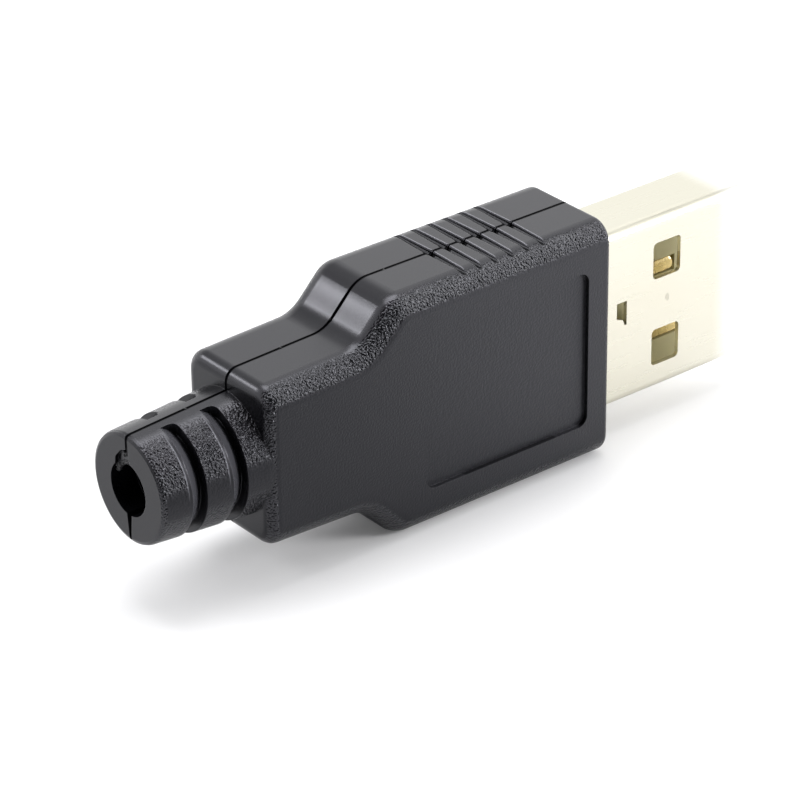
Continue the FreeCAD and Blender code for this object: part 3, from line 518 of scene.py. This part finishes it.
# Painted shade on the upward narrow face, and a painted highlight at the tip:
NICKEL_PAINTED_SHADE = (0.57, 0.56, 0.47, 1.0)
NICKEL_PAINTED_HIGHLIGHT = (0.86, 0.855, 0.82, 1.0)
NICKEL_STAINED = (0.30, 0.28, 0.22, 1.0)


def nickel_sheet():
    """Nickel-plated steel sheet: rolling lines along the plug, painted shade on the narrow face that
    faces upwards, a painted highlight that turns the tip nearly white, and a small punch mark."""
    shader = Shader("nickel_sheet")
    shader.set(Metallic=1.0)
    lines = shader.noise(grains_per_mm=9.0, detail=3.0, stretch=(0.03, 1.0, 1.0))
    cloud = shader.noise(grains_per_mm=0.16, detail=1.0)
    # Painted shade: faces turned upwards are darker.
    narrow = shader.ramp(shader.facing("Z"), *NARROW_UPWARD, 0.0, NARROW_SHADE_SHARE)
    # Painted highlight: the colour turns nearly white towards the tip.
    polished = shader.ramp(shader.place_on("X"), *TIP_HIGHLIGHT_X)
    punched = shader.spot(PUNCH_MARK, PUNCH_MARK_HALF)
    colour = shader.blend(cloud, NICKEL_WARM, NICKEL_PALE)
    colour = shader.blend(narrow, colour, NICKEL_PAINTED_SHADE)
    colour = shader.blend(polished, colour, NICKEL_PAINTED_HIGHLIGHT)
    colour = shader.blend(shader.math("MULTIPLY", punched, PUNCH_MARK_STAIN), colour, NICKEL_STAINED)
    rolled = shader.bump(lines, depth_mm=0.0012, strength=0.6)
    return shader.finish(Base_Color=colour, Roughness=shader.vary(lines, 0.27, 0.33),
                         Normal=shader.bump(punched, depth_mm=-0.03, over=rolled))


# Contact carrier, contacts and torn plastic

CARRIER_SHADE = (0.90, 0.855, 0.58, 1.0)
CARRIER_PALE = (0.95, 0.905, 0.63, 1.0)
GOLD = (0.84, 0.69, 0.37, 1.0)
BRASS = (0.74, 0.58, 0.30, 1.0)
TORN_DARK = (0.010, 0.010, 0.012, 1.0)
TORN_PALE = (0.022, 0.022, 0.026, 1.0)


def carrier_plastic():
    """Off-white glass-filled plastic of the contact carrier."""
    shader = Shader("carrier_plastic")
    shader.set(IOR=1.5)
    fibre = shader.noise(grains_per_mm=5.0, detail=3.0, stretch=(0.25, 1.0, 1.0))
    return shader.finish(Base_Color=shader.blend(fibre, CARRIER_SHADE, CARRIER_PALE),
                         Roughness=shader.vary(fibre, 0.45, 0.60),
                         Normal=shader.bump(fibre, depth_mm=0.004, strength=0.6))


def gold_contact():
    """Gold flash over stamped brass, with draw marks along the strip."""
    shader = Shader("gold_contact")
    shader.set(Metallic=1.0)
    marks = shader.noise(grains_per_mm=12.0, detail=3.0, stretch=(0.05, 1.0, 1.0))
    wear_and_painted_highlight = shader.noise(grains_per_mm=1.3)
    return shader.finish(Base_Color=shader.blend(wear_and_painted_highlight, GOLD, BRASS),
                         Roughness=shader.vary(wear_and_painted_highlight, 0.20, 0.34),
                         Normal=shader.bump(marks, depth_mm=0.002, strength=0.5))


def torn_plastic():
    """The same plastic where it was torn: no grain of the mould, and rough."""
    shader = Shader("torn_plastic")
    shader.set(IOR=1.50)
    tear = shader.noise(grains_per_mm=9.0, detail=3.0, roughness=0.6)
    return shader.finish(Base_Color=shader.blend(tear, TORN_DARK, TORN_PALE),
                         Roughness=shader.vary(tear, 0.28, 0.45),
                         Normal=shader.bump(tear, depth_mm=0.08))


# What moulding leaves and is too fine for the solids: torn plastic at the broken gate above the
# bore, and specks of flash on the parting line. Angles start at the top of the bore, and grow
# towards the far half.

BORE_RADIUS = 1.7
GATE_FLOOR = 0.22
WEB_ANGLES = (-8, 72)
WEB_LUMPS = 30
WEB_ROUGH = 0.5
WEB_THICK = 0.17
WEB_THICKER = (-0.03, 0.05)
WEB_INSET = 0.06
WEB_FARTHER_OUT = (-0.09, 0.03)
WEB_BELOW_FLOOR = 0.20
WEB_DEEPER = (-0.04, 0.08)
BURR_LUMPS = 11
BURR_ROUGH = 0.7
BURR_SIDES = (-0.02, 0.55)
BURR_HEIGHTS = (0.35, 1.0)
BURR_SLANT = 0.35
BURR_SIZES = (0.06, 0.12)
# Specks: distance past the front face, and height above the axis.
SPECKS = [(-28.90, 3.74), (-22.05, 5.33), (-18.40, 5.98), (-14.35, 7.90)]
SPECK_SIZE = 0.07
SPECK_ROUGH = 0.6
# Waves of the noise over a lump's radius, how far apart two lumps take it, and where the burr's
# lumps and the specks start to count, so that no two lumps are alike.
LUMP_WAVES = 1.3
LUMP_STEP = (7.3, 3.1, 5.7)
BURR_COUNTS_FROM = 50
SPECKS_COUNT_FROM = 90


def add_lump(shape, centre, radius, rough, count):
    """A small lump, in millimetres, pushed in and out by noise."""
    made = bmesh.ops.create_icosphere(shape, subdivisions=3, radius=radius)
    shift = Vector([count * step for step in LUMP_STEP])
    for vertex in made["verts"]:
        push = noise.noise(vertex.co / radius * LUMP_WAVES + shift)
        vertex.co = vertex.co * (1 + rough * push) + Vector(centre)


def add_piece(name, shape, material):
    """Makes a piece of the part from a shape in millimetres."""
    bmesh.ops.scale(shape, vec=(MM, MM, MM), verts=shape.verts)
    mesh = bpy.data.meshes.new(name)
    shape.to_mesh(mesh)
    shape.free()
    mesh.polygons.foreach_set("use_smooth", [True] * len(mesh.polygons))
    mesh.materials.append(material)
    piece = place_object(name, mesh)
    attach(piece, "root")


def add_gate_web(material, chance):
    """A ragged web across the top of the bore."""
    first, last = WEB_ANGLES
    web = bmesh.new()
    for index in range(WEB_LUMPS):
        angle = math.radians(first + (last - first) * index / (WEB_LUMPS - 1))
        out = BORE_RADIUS - WEB_INSET + chance.uniform(*WEB_FARTHER_OUT)
        thick = WEB_THICK + chance.uniform(*WEB_THICKER)
        deep = GATE_FLOOR + WEB_BELOW_FLOOR + chance.uniform(*WEB_DEEPER)
        centre = (END_FACE_X + deep, out * math.sin(angle), AXIS_Z + out * math.cos(angle))
        add_lump(web, centre, thick, WEB_ROUGH, index)
    add_piece("gate_web", web, material)


def add_gate_burr(material, chance):
    """A burr where the gate broke off."""
    burr = bmesh.new()
    for index in range(BURR_LUMPS):
        side = chance.uniform(*BURR_SIDES)
        height = BORE_RADIUS + chance.uniform(*BURR_HEIGHTS) - side * BURR_SLANT
        size = chance.uniform(*BURR_SIZES)
        centre = (END_FACE_X + GATE_FLOOR - size / 2, side, AXIS_Z + height)
        add_lump(burr, centre, size, BURR_ROUGH, index + BURR_COUNTS_FROM)
    add_piece("gate_burr", burr, material)


def add_flash(material):
    """Specks of flash in the gap between the halves."""
    flash = bmesh.new()
    for index, (past_face, height) in enumerate(SPECKS):
        centre = (FRONT_FACE_X + past_face, 0.0, AXIS_Z + height)
        add_lump(flash, centre, SPECK_SIZE, SPECK_ROUGH, index + SPECKS_COUNT_FROM)
    add_piece("parting_flash", flash, material)


def add_moulding_marks():
    """The torn gate and the flash. Their random draws come from one fixed seed."""
    chance = random.Random(5)
    torn = torn_plastic()
    add_gate_web(torn, chance)
    add_gate_burr(torn, chance)
    add_flash(torn)


def dress_nodes():
    """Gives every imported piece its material."""
    plastic = housing_plastic()
    gold = gold_contact()
    finishes = {
        "near_housing_half": plastic,
        "far_housing_half": plastic,
        "metal_shell": nickel_sheet(),
        "contact_carrier": carrier_plastic(),
    }
    for name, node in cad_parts.items():
        node.data.materials.clear()
        node.data.materials.append(finishes.get(name, gold))


bpy.context.scene.view_settings.view_transform = "Standard"
add_camera()
add_lights()
add_floor()
dress_nodes()
add_moulding_marks()
